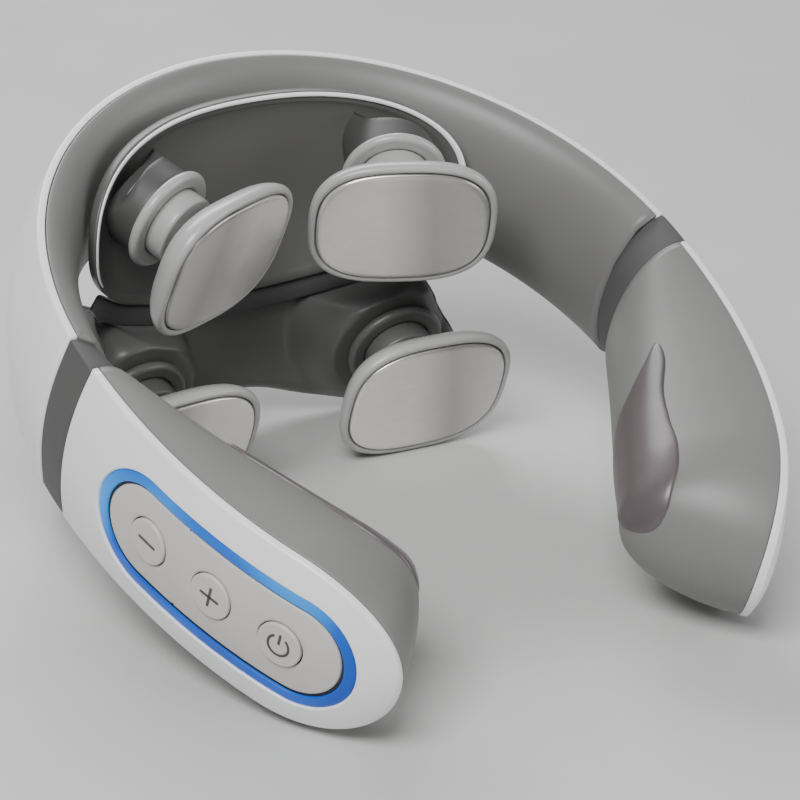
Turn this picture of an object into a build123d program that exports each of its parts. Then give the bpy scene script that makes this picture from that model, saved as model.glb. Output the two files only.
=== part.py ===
from build123d import *

import os
from math import cos, degrees, pi, radians, sin, sqrt

# Four-head shiatsu neck massager: a C-shaped band, open towards -Y, worn round the back of the
# neck. The band is tilted, so its back is high and its two arms droop to the surface it rests on.
# Everything about the band is drawn in its own level frame (BAND). Right is +X, as seen from the
# open side.

# ---- Band ----
RIM_HALF_WIDTH = 71.5      # rim ellipse, centre to side
RIM_BACK = 80.5            # rim ellipse, centre to back
RIM_FRONT = 106.0          # longer half ellipse that the arms follow
BAND_HALF = 20.0           # half of the band's height
OUTER_BULGE = 3.0          # crown of the outer face
RIM_LIP = 1.6              # thickness of the outer shell at its rim
SEAM = 0.1                 # gap between outer shell and inner cover
WALL = 2.2                 # inner cover wall
REAR_DEPTH = 10.8          # rim to the crest of the inner side, at the back
ARM_DEPTH = 30.0           # the same at the arm's bulb
ARM_ROOT_DEPTH = 13.5
SLEEVE_BACK = 3.5          # degrees from the side to the sleeve's two ends
SLEEVE_FRONT = 2.5
SLEEVE_GAP = 0.12          # degrees left between sleeve and shells
NOSE_ANGLE = 53.5          # degrees from the side to the arm's tip
ARM_TURN = 97.0            # mean length of arm per radian
HEIGHT_ROUNDING = 29.0     # length over which the arm's height rounds off to its tip
DEPTH_ROUNDING = 16.0
BULB_RUN = 60.0            # length over which the arm swells to its bulb
BAND_TILT = 18.85
BAND_Y, BAND_Z = -1.17, 40.833
REST_Y, REST_Z = 0.73, 2.04  # moves the finished part's bounding box over the origin

# ---- Control panel, on the left arm's outer face ----
PANEL_ANGLE = 28.1
PANEL_LENGTH, PANEL_HEIGHT = 60.0, 20.5
LED_WIDTH = 3.0
PANEL_RECESS = 0.8
LED_RECESS = 0.4
SHELL_POCKET = 0.4         # how far the arm shell's hollow reaches past the rim line
FIT = 0.15                 # gap round the panel and the light guide
BUTTON_PITCH = 17.0
BUTTON_RADIUS = 4.9
BUTTON_GAP = 0.2
BUTTON_PROUD = 0.35
BUTTON_THICK = 2.0
SWITCH_TOP = -5.0
SWITCH_HEIGHT = 3.5
BOARD_THICK = 1.6

# ---- Cradle ----
CRADLE_Y = -12.67          # centre of the arc that the cradle follows in plan
OVAL_HALF_WIDTH, OVAL_HALF_HEIGHT, OVAL_Z = 46.0, 23.0, 57.5
OVAL_POWER = 2.8           # squareness of the oval's upper half
LIP_FRONT, FLOOR_FRONT, FLOOR_BACK = 67.0, 68.1, 69.6
BACK_COVER = (69.7, 70.8)
FLEX_WIDTH = 5.4
LOWER_FRONT, LOWER_BACK, LOWER_WALL = 70.5, 77.5, 1.8
LOWER_COVER = (77.6, 79.2)
LOBE_Z = 17.0              # height of the lower shell's lobes

# ---- Massage heads ----
HEAD_WIDTH, HEAD_HEIGHT, HEAD_CORNER = 41.2, 33.4, 13.5
PLATE_WIDTH, PLATE_HEIGHT, PLATE_THICK = 37.5, 29.8, 1.4
HEAD_PITCH = 19.6          # degrees that the heads look down, much as the band does
BALL_RADIUS, BALL_BACK = 4.0, 5.2      # ball of the stem, and how far it is behind the plate
RUN_CLEARANCE = 0.05
STEM_RADIUS, STEM_BORE = 8.0, 5.6
STEM_FRONT = 6.5           # ball centre to the neck's shoulder
STEM_INSERT = 4.0
FLANGE_RADIUS, FLANGE_THICK, COLLAR_RADIUS = 11.6, 2.5, 10.0
BORE_DEPTH = 7.8           # of the collar, behind its flange
COLLAR_TAIL = 8.8
SPRING_RADIUS, SPRING_WIRE, SPRING_PITCH = 4.4, 0.5, 2.2
UPPER = dict(centre=(21.5, 23.1, 57.7), yaw=24.0, flange=10.7)
LOWER = dict(centre=(31.6, 25.9, 13.7), yaw=4.0, flange=10.8)


BAND = Location((0, BAND_Y, BAND_Z), (BAND_TILT, 0, 0))


def save(name, shape):
    """Writes one node."""
    os.makedirs("parts", exist_ok=True)
    shape = Pos(0, REST_Y, REST_Z) * shape
    export_step(shape, f"parts/{name}.step")
    print(name, round(shape.volume), shape.bounding_box())


def group(pieces):
    """Separate solids that share one node."""
    return Part() + pieces


def left(shape):
    """The mirror image on the left of the band."""
    return mirror(shape, about=Plane.YZ)


# ---- Band cross-sections: x is outward from the rim, y is up the band ----
def rim_plane(angle, reach):
    """Section plane on the rim, at an angle from the side; reach is the ellipse's other radius,
    positive towards the arm's tip and negative towards the back."""
    turn = radians(angle)
    run = abs(reach)
    sign = -1 if reach > 0 else 1
    origin = (RIM_HALF_WIDTH * cos(turn), sign * run * sin(turn), 0)
    outward = (run * cos(turn), sign * RIM_HALF_WIDTH * sin(turn), 0)
    along = (sign * RIM_HALF_WIDTH * sin(turn), -run * cos(turn), 0)
    return Plane(origin=origin, x_dir=outward, z_dir=along)


def arm_plane(angle):
    return rim_plane(angle, RIM_FRONT)


def inner_face(depth, half, seam):
    """Half ellipse that bulges inward from a straight chord."""
    arc = EllipticalCenterArc((-seam, 0), depth - seam, half, 90, arc_size=180)
    return make_face([arc, Line(arc @ 1, arc @ 0)])


def outer_face(half, bulge, lip, drop=0.0):
    """Crowned strip from the rim line outward, on a straight back; drop sinks its crown."""
    arc = ThreePointArc((-drop, half), (bulge - drop, 0), (-drop, -half))
    return make_face([arc, Polyline((-drop, -half), (-lip, -half), (-lip, half), (-drop, half))])


def whole_face(depth, half, bulge):
    arc = ThreePointArc((0, half), (bulge, 0), (0, -half))
    return make_face([arc, EllipticalCenterArc((0, 0), depth, half, 90, arc_size=180)])


def pocket_face(half, reach, lip):
    """Hollow behind the outer face; it starts a little inside the lip, so that it cuts clean."""
    back = lip + 1
    return Pos((reach - back) / 2, 0) * Rectangle(reach + back, 2 * half)


# ---- Arm sizes along its length ----
def rounded(run, length):
    """Quarter-ellipse fade from 1 to 0 over the last stretch before the tip."""
    return sqrt(1 - (1 - run / length) ** 2) if run < length else 1.0


def arm_half(run):
    return BAND_HALF * rounded(run, HEIGHT_ROUNDING)


def arm_depth(run):
    grown = min(1.0, (arm_run(SLEEVE_FRONT) - run) / BULB_RUN)
    swell = max(0.0, sin(pi / 2 * grown)) ** 0.8
    return (ARM_ROOT_DEPTH + (ARM_DEPTH - ARM_ROOT_DEPTH) * swell) * rounded(run, DEPTH_ROUNDING)


def arm_run(angle):
    """Length of arm left before the tip."""
    return radians(NOSE_ANGLE - angle) * ARM_TURN


ARM_STATIONS = [2.5, 6, 11, 17, 24, 31, 37, 42, 46, 49.5, 52.4]
HOLLOW_STATIONS = [2.5, 6, 11, 17, 24, 31, 37, 42, 45.5, 48.5]


def arm_loft(face, stations):
    """Skins a section along the right arm; face takes the length left and the local sizes."""
    sections = []
    for angle in stations:
        run = arm_run(angle)
        sections.append(arm_plane(angle) * face(arm_depth(run), arm_half(run)))
    return loft(sections)


def arm_inner(grow=0.0):
    return arm_loft(lambda depth, half: inner_face(depth + grow, half + grow / 2, RIM_LIP + SEAM),
                    ARM_STATIONS)


def arm_outer(drop=0.0):
    return arm_loft(lambda depth, half: outer_face(half, OUTER_BULGE * half / BAND_HALF,
                                                   RIM_LIP, drop), ARM_STATIONS)


def arm_cover():
    hollow = arm_loft(lambda depth, half: inner_face(depth - WALL, half - WALL, RIM_LIP - 1),
                      HOLLOW_STATIONS)
    return arm_inner() - hollow


def arm_pocket():
    return arm_loft(lambda depth, half: pocket_face(half - 3, SHELL_POCKET, RIM_LIP),
                    HOLLOW_STATIONS)


def side_pad():
    """Leaf-shaped silicone pad on the arm's inner side."""
    outline = Spline((-27, 13.5), (-40, 13.4), (-55, 13.4), (-67, 12.6), (-75.5, 9), (-76.5, 3),
                     (-70, -5), (-57, -8), (-44, -2), (-34, 7), periodic=True)
    leaf = extrude(Plane.YZ * make_face(outline), amount=58)
    leaf -= arm_plane(33) * Pos(42, 0, 0) * Box(100, 100, 200)
    pad = (arm_inner(grow=0.9) & leaf) - arm_inner()
    return pad.solids().sort_by(SortBy.VOLUME)[-1]


# ---- Control panel ----
def stadium(length, height):
    return SlotOverall(length, height)


def panel_prism(grow):
    """Stadium prism along the outward normal at the panel's centre."""
    outline = stadium(PANEL_LENGTH + 2 * grow, PANEL_HEIGHT + 2 * grow)
    face = Rot(Y=90) * outline
    prism = extrude(face, amount=10, both=True)
    return arm_plane(PANEL_ANGLE) * prism


def button_planes():
    """Section planes of the three buttons, from the arm's root to its tip."""
    step = degrees(BUTTON_PITCH / 99.0)
    return [arm_plane(PANEL_ANGLE + n * step) for n in (-1, 0, 1)]


def disc(plane, radius, low, high):
    """Round bar along the outward direction of a section plane."""
    return plane * Pos((low + high) / 2, 0, 0) * Rot(Y=90) * Cylinder(radius, high - low)


def button(plane, foot):
    top = OUTER_BULGE - PANEL_RECESS + BUTTON_PROUD
    cap = disc(plane, BUTTON_RADIUS, top - BUTTON_THICK, top)
    cap = fillet(cap.edges().filter_by(GeomType.CIRCLE), 0.3)
    return cap + disc(plane, 1.6, foot, top - 1)


# ---- Cradle ----
def oval(half_width, half_height, lower_power=2.0):
    """Closed outline in X and Z: squarish above, elliptical below."""
    count = 36
    points = []
    for n in range(count):
        turn = 2 * pi * n / count
        power = OVAL_POWER if sin(turn) > 0 else lower_power
        across, up = cos(turn), sin(turn)
        points.append((half_width * abs(across) ** (2 / power) * (1 if across > 0 else -1),
                       OVAL_Z + half_height * abs(up) ** (2 / power) * (1 if up > 0 else -1)))
    return make_face(Spline(*points, periodic=True))


def prism(face):
    return extrude(Plane.XZ * face, amount=-90)


def ring(inner, outer):
    """Upright tube about the cradle's centre line."""
    tube = Cylinder(outer, 200) - Cylinder(inner, 200)
    return Pos(0, CRADLE_Y, 0) * tube


def rim_wall():
    """Space that the upper shell's wall and its trim take, with a little clearance."""
    wall = oval(OVAL_HALF_WIDTH + 1, OVAL_HALF_HEIGHT + 1)
    wall -= oval(OVAL_HALF_WIDTH - 2.6, OVAL_HALF_HEIGHT - 2.6)
    return prism(wall) & ring(LIP_FRONT - 0.9, FLOOR_BACK + 1)


def lower_outline(inset=0.0):
    """Lower shell seen from the front: a waist under the flex strip and two round lobes."""
    side = [(40, 44), (41, 34), (43.5, 28.5), (47.6, 21.7), (49.6, 14.7), (48, 8), (42, 3.4),
            (31, 2.0), (19, 3.8), (8, 6.9)]
    points = side + [(0, 7.6)] + [(-x, z) for x, z in reversed(side)]
    edge = Spline(*points)
    face = make_face([edge, Line(edge @ 1, edge @ 0)])
    if inset:
        face = Pos(0, LOBE_Z) * scale(Pos(0, -LOBE_Z) * face, by=(0.963, 0.88, 1))
    grow = FLEX_WIDTH + 0.4 + inset
    return face - oval(OVAL_HALF_WIDTH + grow, OVAL_HALF_HEIGHT + grow)


# ---- Massage heads ----
class Head:
    """Places of one right-hand massage head."""

    def __init__(self, centre, yaw, flange):
        turn, pitch = radians(yaw), radians(HEAD_PITCH)
        ahead = (-sin(turn) * cos(pitch), -cos(turn) * cos(pitch), -sin(pitch))
        across = (cos(turn), -sin(turn), 0)
        self.face = Plane(origin=centre, x_dir=across, z_dir=ahead)
        ball = Vector(*centre) - self.face.z_dir * BALL_BACK
        self.flange = flange
        self.stem = Plane(origin=ball, x_dir=across, z_dir=ahead)

    def bar(self, radius, low, high):
        """Round bar on the stem's axis, measured from the ball's centre, forwards positive."""
        return self.stem * Pos(0, 0, (low + high) / 2) * Cylinder(radius, high - low)


def squircle(width, height, radius):
    return RectangleRounded(width, height, radius)


def head_shell(head):
    back = Pos(0, 0, -6.2) * squircle(27, 20, 9)
    front = Pos(0, 0, -2.4) * squircle(HEAD_WIDTH, HEAD_HEIGHT, HEAD_CORNER)
    body = loft([back, front])
    body += extrude(front, amount=2.4)
    body += Pos(0, 0, -7) * Cylinder(6.5, 3)
    recess = squircle(PLATE_WIDTH + 0.6, PLATE_HEIGHT + 0.6, HEAD_CORNER - 1.5)
    body -= extrude(Pos(0, 0, -PLATE_THICK) * recess, amount=5)
    body -= Pos(0, 0, -BALL_BACK) * Sphere(BALL_RADIUS + RUN_CLEARANCE)
    body -= Pos(0, 0, -8.6) * Cone(4.6, 3.4, 2.4)
    return head.face * body


def electrode_plate(head):
    plate = squircle(PLATE_WIDTH, PLATE_HEIGHT, HEAD_CORNER - 1.8)
    solid = extrude(Pos(0, 0, -PLATE_THICK + 0.05) * plate, amount=PLATE_THICK + 0.35)
    front = solid.faces().sort_by(Axis.Z)[-1]
    solid = fillet(front.edges(), 0.5)
    solid -= Pos(0, 0, -BALL_BACK) * Sphere(BALL_RADIUS + 0.3)
    return head.face * solid


def stem_part(head):
    low = -head.flange - STEM_INSERT
    neck = head.bar(STEM_RADIUS, low, -STEM_FRONT)
    neck -= head.bar(STEM_BORE, low, -STEM_FRONT - 2)
    neck += head.bar(2.4, -STEM_FRONT - 1, 0)
    return neck + head.stem * Sphere(BALL_RADIUS)


def collar(head, tail):
    """Flanged cup that the stem slides in; tail is its length behind the flange."""
    flange = head.bar(FLANGE_RADIUS, -head.flange - FLANGE_THICK, -head.flange)
    flange = fillet(flange.edges().filter_by(GeomType.CIRCLE), 1.1)
    tube = head.bar(COLLAR_RADIUS, -head.flange - tail, -head.flange - 1)
    return flange + tube - head.bar(STEM_RADIUS + RUN_CLEARANCE, -head.flange - BORE_DEPTH, 0)


def spring(head):
    """Coil spring from the floor of the collar to the end of the stem's bore."""
    top = -STEM_FRONT - 2 - SPRING_WIRE - 0.1
    low = -head.flange - BORE_DEPTH + SPRING_WIRE + 0.1
    coil = Helix(SPRING_PITCH, top - low, SPRING_RADIUS)
    section = Plane(origin=coil @ 0, z_dir=coil % 0) * Circle(SPRING_WIRE)
    wire = sweep(section, path=coil, is_frenet=True)
    return head.stem * Pos(0, 0, low) * wire


def rear_path(start):
    """Rim line round the back, leaving the same angle out at each side."""
    return EllipticalCenterArc((0, 0), RIM_HALF_WIDTH, RIM_BACK, start, arc_size=180 - 2 * start)


def make_rear():
    start = rim_plane(SLEEVE_BACK, -RIM_BACK)
    path = rear_path(SLEEVE_BACK)
    shell = outer_face(BAND_HALF, OUTER_BULGE, RIM_LIP)
    shell -= pocket_face(BAND_HALF - 3, SHELL_POCKET, RIM_LIP)
    save("rear_outer_shell", BAND * sweep(start * shell, path=path))
    seam = RIM_LIP + SEAM
    section = inner_face(REAR_DEPTH, BAND_HALF, seam)
    section -= inner_face(REAR_DEPTH - WALL, BAND_HALF - WALL, seam)
    cover = BAND * sweep(start * section, path=path)
    solid = BAND * sweep(start * inner_face(REAR_DEPTH, BAND_HALF, seam), path=path)
    screws = []
    for x in (-6, 6):
        shaft = Pos(x, 64.4, OVAL_Z + 5) * Rot(X=90) * Cylinder(1.3, 9.6)
        head = Pos(x, 70, OVAL_Z + 5) * Rot(X=90) * Cylinder(2.6, 1.6)
        screws.append(shaft + head)
    hub = Pos(0, 64, OVAL_Z + 5) * Rot(X=90) * Cylinder(12, 14)
    hub -= solid
    hub -= Pos(0, CRADLE_Y, 0) * Cylinder(BACK_COVER[1] + 0.05, 200)
    hub = hub.solids().sort_by(Axis.Y)[0]
    for screw in screws:
        cover -= screw
        hub -= screw
    save("rear_inner_cover", cover)
    save("cradle_hub", hub)
    save("hub_screws", group(screws))
    spine = Pos(-3, 0) * Rectangle(0.8, 12)
    save("rear_spine", BAND * sweep(rim_plane(9, -RIM_BACK) * spine, path=rear_path(9)))
    return screws


def make_joints():
    """Rubber sleeves and the spring strips inside them, between the back and each arm."""
    stations = [(SLEEVE_BACK - SLEEVE_GAP, -RIM_BACK, REAR_DEPTH), (0, RIM_FRONT, 12.2),
                (SLEEVE_FRONT - SLEEVE_GAP, RIM_FRONT, ARM_ROOT_DEPTH)]
    skin = [rim_plane(angle, reach) * whole_face(depth, BAND_HALF, OUTER_BULGE)
            for angle, reach, depth in stations]
    bore = [rim_plane(angle, reach) * whole_face(depth - 2, BAND_HALF - 2, OUTER_BULGE - 1.8)
            for angle, reach, depth in stations]
    sleeve = BAND * (loft(skin) - loft(bore))
    strip = [rim_plane(angle, reach) * Pos(-5.2, 0) * Rectangle(0.6, 12)
             for angle, reach in ((10, -RIM_BACK), (5, -RIM_BACK), (0, RIM_FRONT),
                                  (5, RIM_FRONT), (9, RIM_FRONT))]
    strip = BAND * loft(strip)
    for side, place in (("right", lambda shape: shape), ("left", left)):
        save(f"{side}_joint_sleeve", place(sleeve))
        save(f"{side}_flex_strip", place(strip))


def make_left_arm():
    place = lambda shape: left(BAND * shape)
    pocket = arm_pocket()
    shell = arm_outer() - pocket - panel_prism(LED_WIDTH + FIT)
    posts = [arm_plane(PANEL_ANGLE) * Pos(0, 0, z) for z in (-25.5, 25.5)]
    screws = []
    for post in posts:
        screws.append(post * Pos(-11.9, 0, 0) * Rot(Y=90) * Cylinder(1.9, 1.6)
                      + post * Pos(-8.6, 0, 0) * Rot(Y=90) * Cylinder(1.0, 5.4))
    save("left_arm_shell", place(shell))
    cover = arm_cover()
    save("left_arm_cover", place(cover))
    save("left_side_pad", place(side_pad()))
    guide = arm_outer(LED_RECESS) & (panel_prism(LED_WIDTH) - panel_prism(FIT))
    save("led_light_guide", place(guide - pocket))
    panel = (arm_outer(PANEL_RECESS) & panel_prism(0)) - pocket
    feet = []
    for n, plane in enumerate(button_planes()):
        panel -= disc(plane, BUTTON_RADIUS + BUTTON_GAP, -8, 8)
        feet.append(-4.2 if n == 1 else -3.1)
    for post in posts:
        panel += post * Pos(-4.7, 0, 0) * Rot(Y=90) * Cylinder(2.4, 7.4)
    for screw in screws:
        panel -= screw
    save("control_panel", place(panel))
    for name, plane, foot in zip(("minus", "plus", "power"), button_planes(), feet):
        save(f"{name}_button", place(button(plane, foot)))
    centre = arm_plane(PANEL_ANGLE)
    board_top = SWITCH_TOP - SWITCH_HEIGHT
    board = centre * Pos(board_top - BOARD_THICK / 2, 0, 0) * Box(BOARD_THICK, 16, 56)
    for screw in screws:
        board -= screw
    save("control_board", place(board))
    save("board_screws", place(group(screws)))
    switches = [centre * Pos(board_top + SWITCH_HEIGHT / 2, 0, z) * Box(SWITCH_HEIGHT, 5, 5)
                for z in (-BUTTON_PITCH, 0, BUTTON_PITCH)]
    save("tact_switches", place(group(switches)))
    speaker = disc(arm_plane(35), 7, -19, -15) + disc(arm_plane(35), 4.5, -21, -19)
    save("speaker", place(speaker))


def make_right_arm():
    save("right_arm_shell", BAND * (arm_outer() - arm_pocket()))
    inlet = arm_plane(10)
    slot = inlet * Pos(-8, -18, 0) * Box(3.7, 8, 9.6)
    save("right_arm_cover", BAND * (arm_cover() - slot))
    save("right_side_pad", BAND * side_pad())
    socket = Box(3.2, 7.6, 9.0)
    socket = fillet(socket.edges().filter_by(Axis.Y), 1.2) - Pos(0, -1, 0) * Box(2.4, 6.6, 8.2)
    socket += Pos(0, -0.3, 0) * Box(0.7, 5.8, 6.6)
    save("charge_socket", BAND * (inlet * Pos(-8, -15.4, 0) * socket))
    board = inlet * Pos(-10.4, -4.0, 0) * Box(1.2, 17, 13)
    screws = [inlet * Pos(-11.7, y, 0) * Rot(Y=90) * (Cylinder(1.9, 1.4)
              + Pos(0, 0, 1.7) * Cylinder(1.0, 2.0)) for y in (-8.5, 3)]
    for screw in screws:
        board -= screw
    save("charge_board", BAND * board)
    save("charge_board_screws", BAND * group(screws))
    cell = Box(8, 24, 44)
    cell = fillet(cell.edges().filter_by(Axis.Z), 3.2)
    save("battery_cell", BAND * (arm_plane(PANEL_ANGLE) * Pos(-10, 0, 0) * cell))
    motor = disc(arm_plane(34), 5, -20.5, -17.5) + disc(arm_plane(34), 1, -21.5, -20.5)
    save("vibration_motor", BAND * motor)


def make_upper_cradle(screws):
    shell = prism(oval(OVAL_HALF_WIDTH, OVAL_HALF_HEIGHT)) & ring(LIP_FRONT, FLOOR_BACK)
    shell -= prism(oval(OVAL_HALF_WIDTH - 2.4, OVAL_HALF_HEIGHT - 2.4)) & ring(50, FLOOR_FRONT)
    save("cradle_upper_shell", shell)
    edge = oval(OVAL_HALF_WIDTH, OVAL_HALF_HEIGHT)
    edge -= oval(OVAL_HALF_WIDTH - 1.6, OVAL_HALF_HEIGHT - 1.6)
    trim = prism(edge) & ring(LIP_FRONT - 0.8, LIP_FRONT - 0.05)
    save("cradle_trim", trim & Pos(0, 50, 100) * Box(200, 100, 100))
    cover = prism(oval(OVAL_HALF_WIDTH - 5, OVAL_HALF_HEIGHT - 5)) & ring(*BACK_COVER)
    for screw in screws:
        cover -= screw
    save("cradle_back_cover", cover)
    strip = oval(OVAL_HALF_WIDTH + FLEX_WIDTH, OVAL_HALF_HEIGHT + FLEX_WIDTH)
    strip -= oval(OVAL_HALF_WIDTH + 0.3, OVAL_HALF_HEIGHT + 0.3)
    strip = prism(strip) & ring(68.0, 71.2) & Pos(0, 50, -6) * Box(86, 100, 100)
    save("cradle_flex_strip", strip)


def make_lower_cradle():
    head = Head(**LOWER)
    shell = prism(lower_outline()) & ring(LOWER_FRONT, LOWER_BACK)
    shell -= prism(lower_outline(LOWER_WALL)) & ring(LOWER_FRONT + LOWER_WALL, LOWER_BACK + 1)
    pod = head.stem * Pos(0, 0, -head.flange - 8.6) * Cone(17.5, 12.4, 12)
    pod = pod & prism(lower_outline()) & ring(50, LOWER_FRONT + LOWER_WALL)
    hole = head.bar(COLLAR_RADIUS + 0.05, -head.flange - COLLAR_TAIL - 0.05, -head.flange)
    hole += head.bar(FLANGE_RADIUS + 0.3, -head.flange - FLANGE_THICK - 0.05, 0)
    shell = shell + pod + left(pod) - hole - left(hole)
    save("cradle_lower_shell", shell)
    screws = []
    for x in (-40, -12, 12, 40):
        spot = Plane(origin=(x, CRADLE_Y + sqrt(LOWER_COVER[1] ** 2 - x * x), 22),
                     z_dir=(x, sqrt(LOWER_COVER[1] ** 2 - x * x), 0))
        screws.append(spot * Pos(0, 0, 0.5) * Cylinder(2.4, 1.4) + spot * Pos(0, 0, -1.8)
                      * Cylinder(1.1, 4))
    cover = prism(lower_outline()) & ring(*LOWER_COVER)
    for screw in screws:
        cover -= screw
    save("cradle_lower_back", cover)
    save("cradle_back_screws", group(screws))


def make_heads():
    for level, sizes, tail in (("upper", UPPER, 22), ("lower", LOWER, COLLAR_TAIL)):
        head = Head(**sizes)
        bush = collar(head, tail)
        if level == "upper":
            bush = bush - ring(FLOOR_FRONT - 0.02, 90) - rim_wall()
            bush = bush.solids().sort_by(SortBy.VOLUME)[-1]
        pieces = {"collar": bush, "stem": stem_part(head), "spring": spring(head),
                  "head_shell": head_shell(head), "electrode_plate": electrode_plate(head)}
        for name, shape in pieces.items():
            save(f"{level}_right_{name}", shape)
            save(f"{level}_left_{name}", left(shape))


hub_screws = make_rear()
make_joints()
make_left_arm()
make_right_arm()
make_upper_cradle(hub_screws)
make_lower_cradle()
make_heads()
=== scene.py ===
from math import atan2, cos, degrees, pi, radians, sin, sqrt

import bmesh
import bpy
import numpy as np
from mathutils import Matrix, Vector


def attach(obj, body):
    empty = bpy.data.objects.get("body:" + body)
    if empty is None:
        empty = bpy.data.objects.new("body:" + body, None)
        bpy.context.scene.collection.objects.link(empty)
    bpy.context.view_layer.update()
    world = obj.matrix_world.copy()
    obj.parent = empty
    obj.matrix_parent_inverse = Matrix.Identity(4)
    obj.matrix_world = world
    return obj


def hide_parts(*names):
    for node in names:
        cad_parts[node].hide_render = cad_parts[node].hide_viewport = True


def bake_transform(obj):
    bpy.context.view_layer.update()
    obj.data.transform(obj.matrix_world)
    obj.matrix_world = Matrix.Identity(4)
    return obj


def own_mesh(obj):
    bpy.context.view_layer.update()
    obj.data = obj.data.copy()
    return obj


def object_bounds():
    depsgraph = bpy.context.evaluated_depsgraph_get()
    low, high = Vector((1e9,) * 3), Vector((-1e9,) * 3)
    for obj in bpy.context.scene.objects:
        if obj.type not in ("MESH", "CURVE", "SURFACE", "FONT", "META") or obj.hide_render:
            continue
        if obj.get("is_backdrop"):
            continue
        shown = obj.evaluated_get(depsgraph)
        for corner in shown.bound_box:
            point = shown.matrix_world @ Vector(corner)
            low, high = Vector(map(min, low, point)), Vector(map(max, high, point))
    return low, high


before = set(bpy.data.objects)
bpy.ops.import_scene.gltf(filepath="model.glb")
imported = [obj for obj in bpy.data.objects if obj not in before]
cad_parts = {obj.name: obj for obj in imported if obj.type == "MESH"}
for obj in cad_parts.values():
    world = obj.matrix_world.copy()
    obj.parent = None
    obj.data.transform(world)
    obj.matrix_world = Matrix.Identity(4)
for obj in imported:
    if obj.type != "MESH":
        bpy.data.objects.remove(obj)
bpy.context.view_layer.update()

# ==== sizes, in millimetres
RIM_HALF_WIDTH, RIM_BACK, RIM_FRONT = 71.5, 80.5, 106.0
HALF, BULGE, LIP, SEAM, WALL = 20.0, 3.0, 1.6, 0.16, 2.2
REAR_DEPTH, ARM_DEPTH, ARM_ROOT_DEPTH = 10.8, 30.0, 13.5
SLEEVE_BACK, SLEEVE_FRONT, SLEEVE_DEPTH = 3.5, 2.5, 12.2
SEAM_ANGLE, SLEEVE_CLEAR = 0.05, 0.06
NOSE_ANGLE, ARM_TURN = 53.5, 97.0
HEIGHT_ROUNDING, DEPTH_ROUNDING, BULB_RUN = 29.0, 16.0, 60.0
TILT, BAND_AT = radians(18.85), (0.0, -0.44, 42.873)
PANEL_ANGLE, PANEL_LENGTH, PANEL_HEIGHT = 28.1, 60.0, 20.5
LED_WIDTH, FIT, PITCH, PANEL_TURN = 3.0, 0.15, 17.0, 99.0
FACE_RISE, PANEL_DROP, PANEL_THICK, BUTTON_HOLE = 2.6, 0.8, 1.8, 5.1
REST = np.array([0.0, 0.73, 2.04])
CRADLE_Y = -12.67
OVAL_W, OVAL_H, OVAL_Z, OVAL_POWER = 46.0, 23.0, 57.5, 2.8
DISH_BACK, DISH_FLOOR, LOWER_FRONT, LOWER_BACK, LOWER_GAP = 69.6, 68.1, 70.5, 77.5, 5.8
POD_FLAT, POD_FOOT = 14.5, 20.6
HEAD_W, HEAD_H, HEAD_POWER = 41.2, 33.4, 2.85
HEAD_PITCH, BALL_BEHIND = radians(19.6), 5.2
UPPER = dict(centre=(21.5, 23.1, 57.7), yaw=24.0, flange=10.7)
LOWER = dict(centre=(31.6, 25.9, 13.7), yaw=4.0, flange=10.8)


# ==== mesh helpers
def piece(name, verts, faces, material, body=None, nodes=(), slot=None):
    """A smooth closed mesh from points in millimetres, riding on a body."""
    mesh = bpy.data.meshes.new(name)
    bm = bmesh.new()
    made = [bm.verts.new(Vector(v) * 0.001) for v in np.asarray(verts, float)]
    for f in faces:
        ring = []
        for i in f:
            if made[i] not in ring:
                ring.append(made[i])
        if len(ring) > 2:
            try:
                bm.faces.new(ring)
            except ValueError:
                pass
    bmesh.ops.remove_doubles(bm, verts=bm.verts, dist=1e-7)
    bmesh.ops.dissolve_degenerate(bm, edges=bm.edges, dist=1e-8)
    bmesh.ops.recalc_face_normals(bm, faces=bm.faces)
    for f in bm.faces:
        f.smooth = True
    bm.to_mesh(mesh)
    bm.free()
    obj = bpy.data.objects.new(name, mesh)
    bpy.context.scene.collection.objects.link(obj)
    obj.data.materials.append(material)
    if body:
        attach(obj, body)
    if nodes:
        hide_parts(*nodes)
    return obj


def grid(rows, wrap_rows=False, caps=True):
    """Verts and faces of a closed skin over loops of equal length."""
    rows = np.asarray(rows, float)
    n, m, _ = rows.shape
    verts = rows.reshape(-1, 3)
    faces = []
    for i in range(n if wrap_rows else n - 1):
        a, b = i * m, ((i + 1) % n) * m
        for j in range(m):
            k = (j + 1) % m
            faces.append((a + j, a + k, b + k, b + j))
    if caps and not wrap_rows:
        faces.append(tuple(range(m)))
        faces.append(tuple((n - 1) * m + j for j in range(m)))
    return verts, faces


def fan_grid(rows):
    """The same, closed at both ends by a fan to the middle of the first and last loops."""
    rows = np.asarray(rows, float)
    n, m, _ = rows.shape
    verts, faces = grid(rows, caps=False)
    verts = np.vstack([verts, rows[0].mean(0), rows[-1].mean(0)])
    for j in range(m):
        k = (j + 1) % m
        faces.append((j, k, n * m))
        faces.append(((n - 1) * m + j, (n - 1) * m + k, n * m + 1))
    return verts, faces


def mirrored(verts):
    """The same points on the other side of the part's middle plane."""
    out = np.array(verts, float)
    out[:, 0] *= -1
    return out


def both_sides(name, verts, faces, material, body, nodes=(), slot=None):
    """One piece at each side; the words {side} are filled in."""
    for side in ("right", "left"):
        v = verts if side == "right" else mirrored(verts)
        piece(name.format(side=side), v, faces, material, body.format(side=side),
              [n.format(side=side) for n in nodes], slot)


def farthest(low, high, steps, holds):
    """Largest value between two for which a test still holds, found by halving."""
    for _ in range(steps):
        mid = (low + high) / 2
        if holds(mid):
            low = mid
        else:
            high = mid
    return low


def signed_power(value, power):
    """Power of a value's size, with the value's own sign."""
    return abs(value) ** power * (1 if value > 0 else -1)


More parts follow.
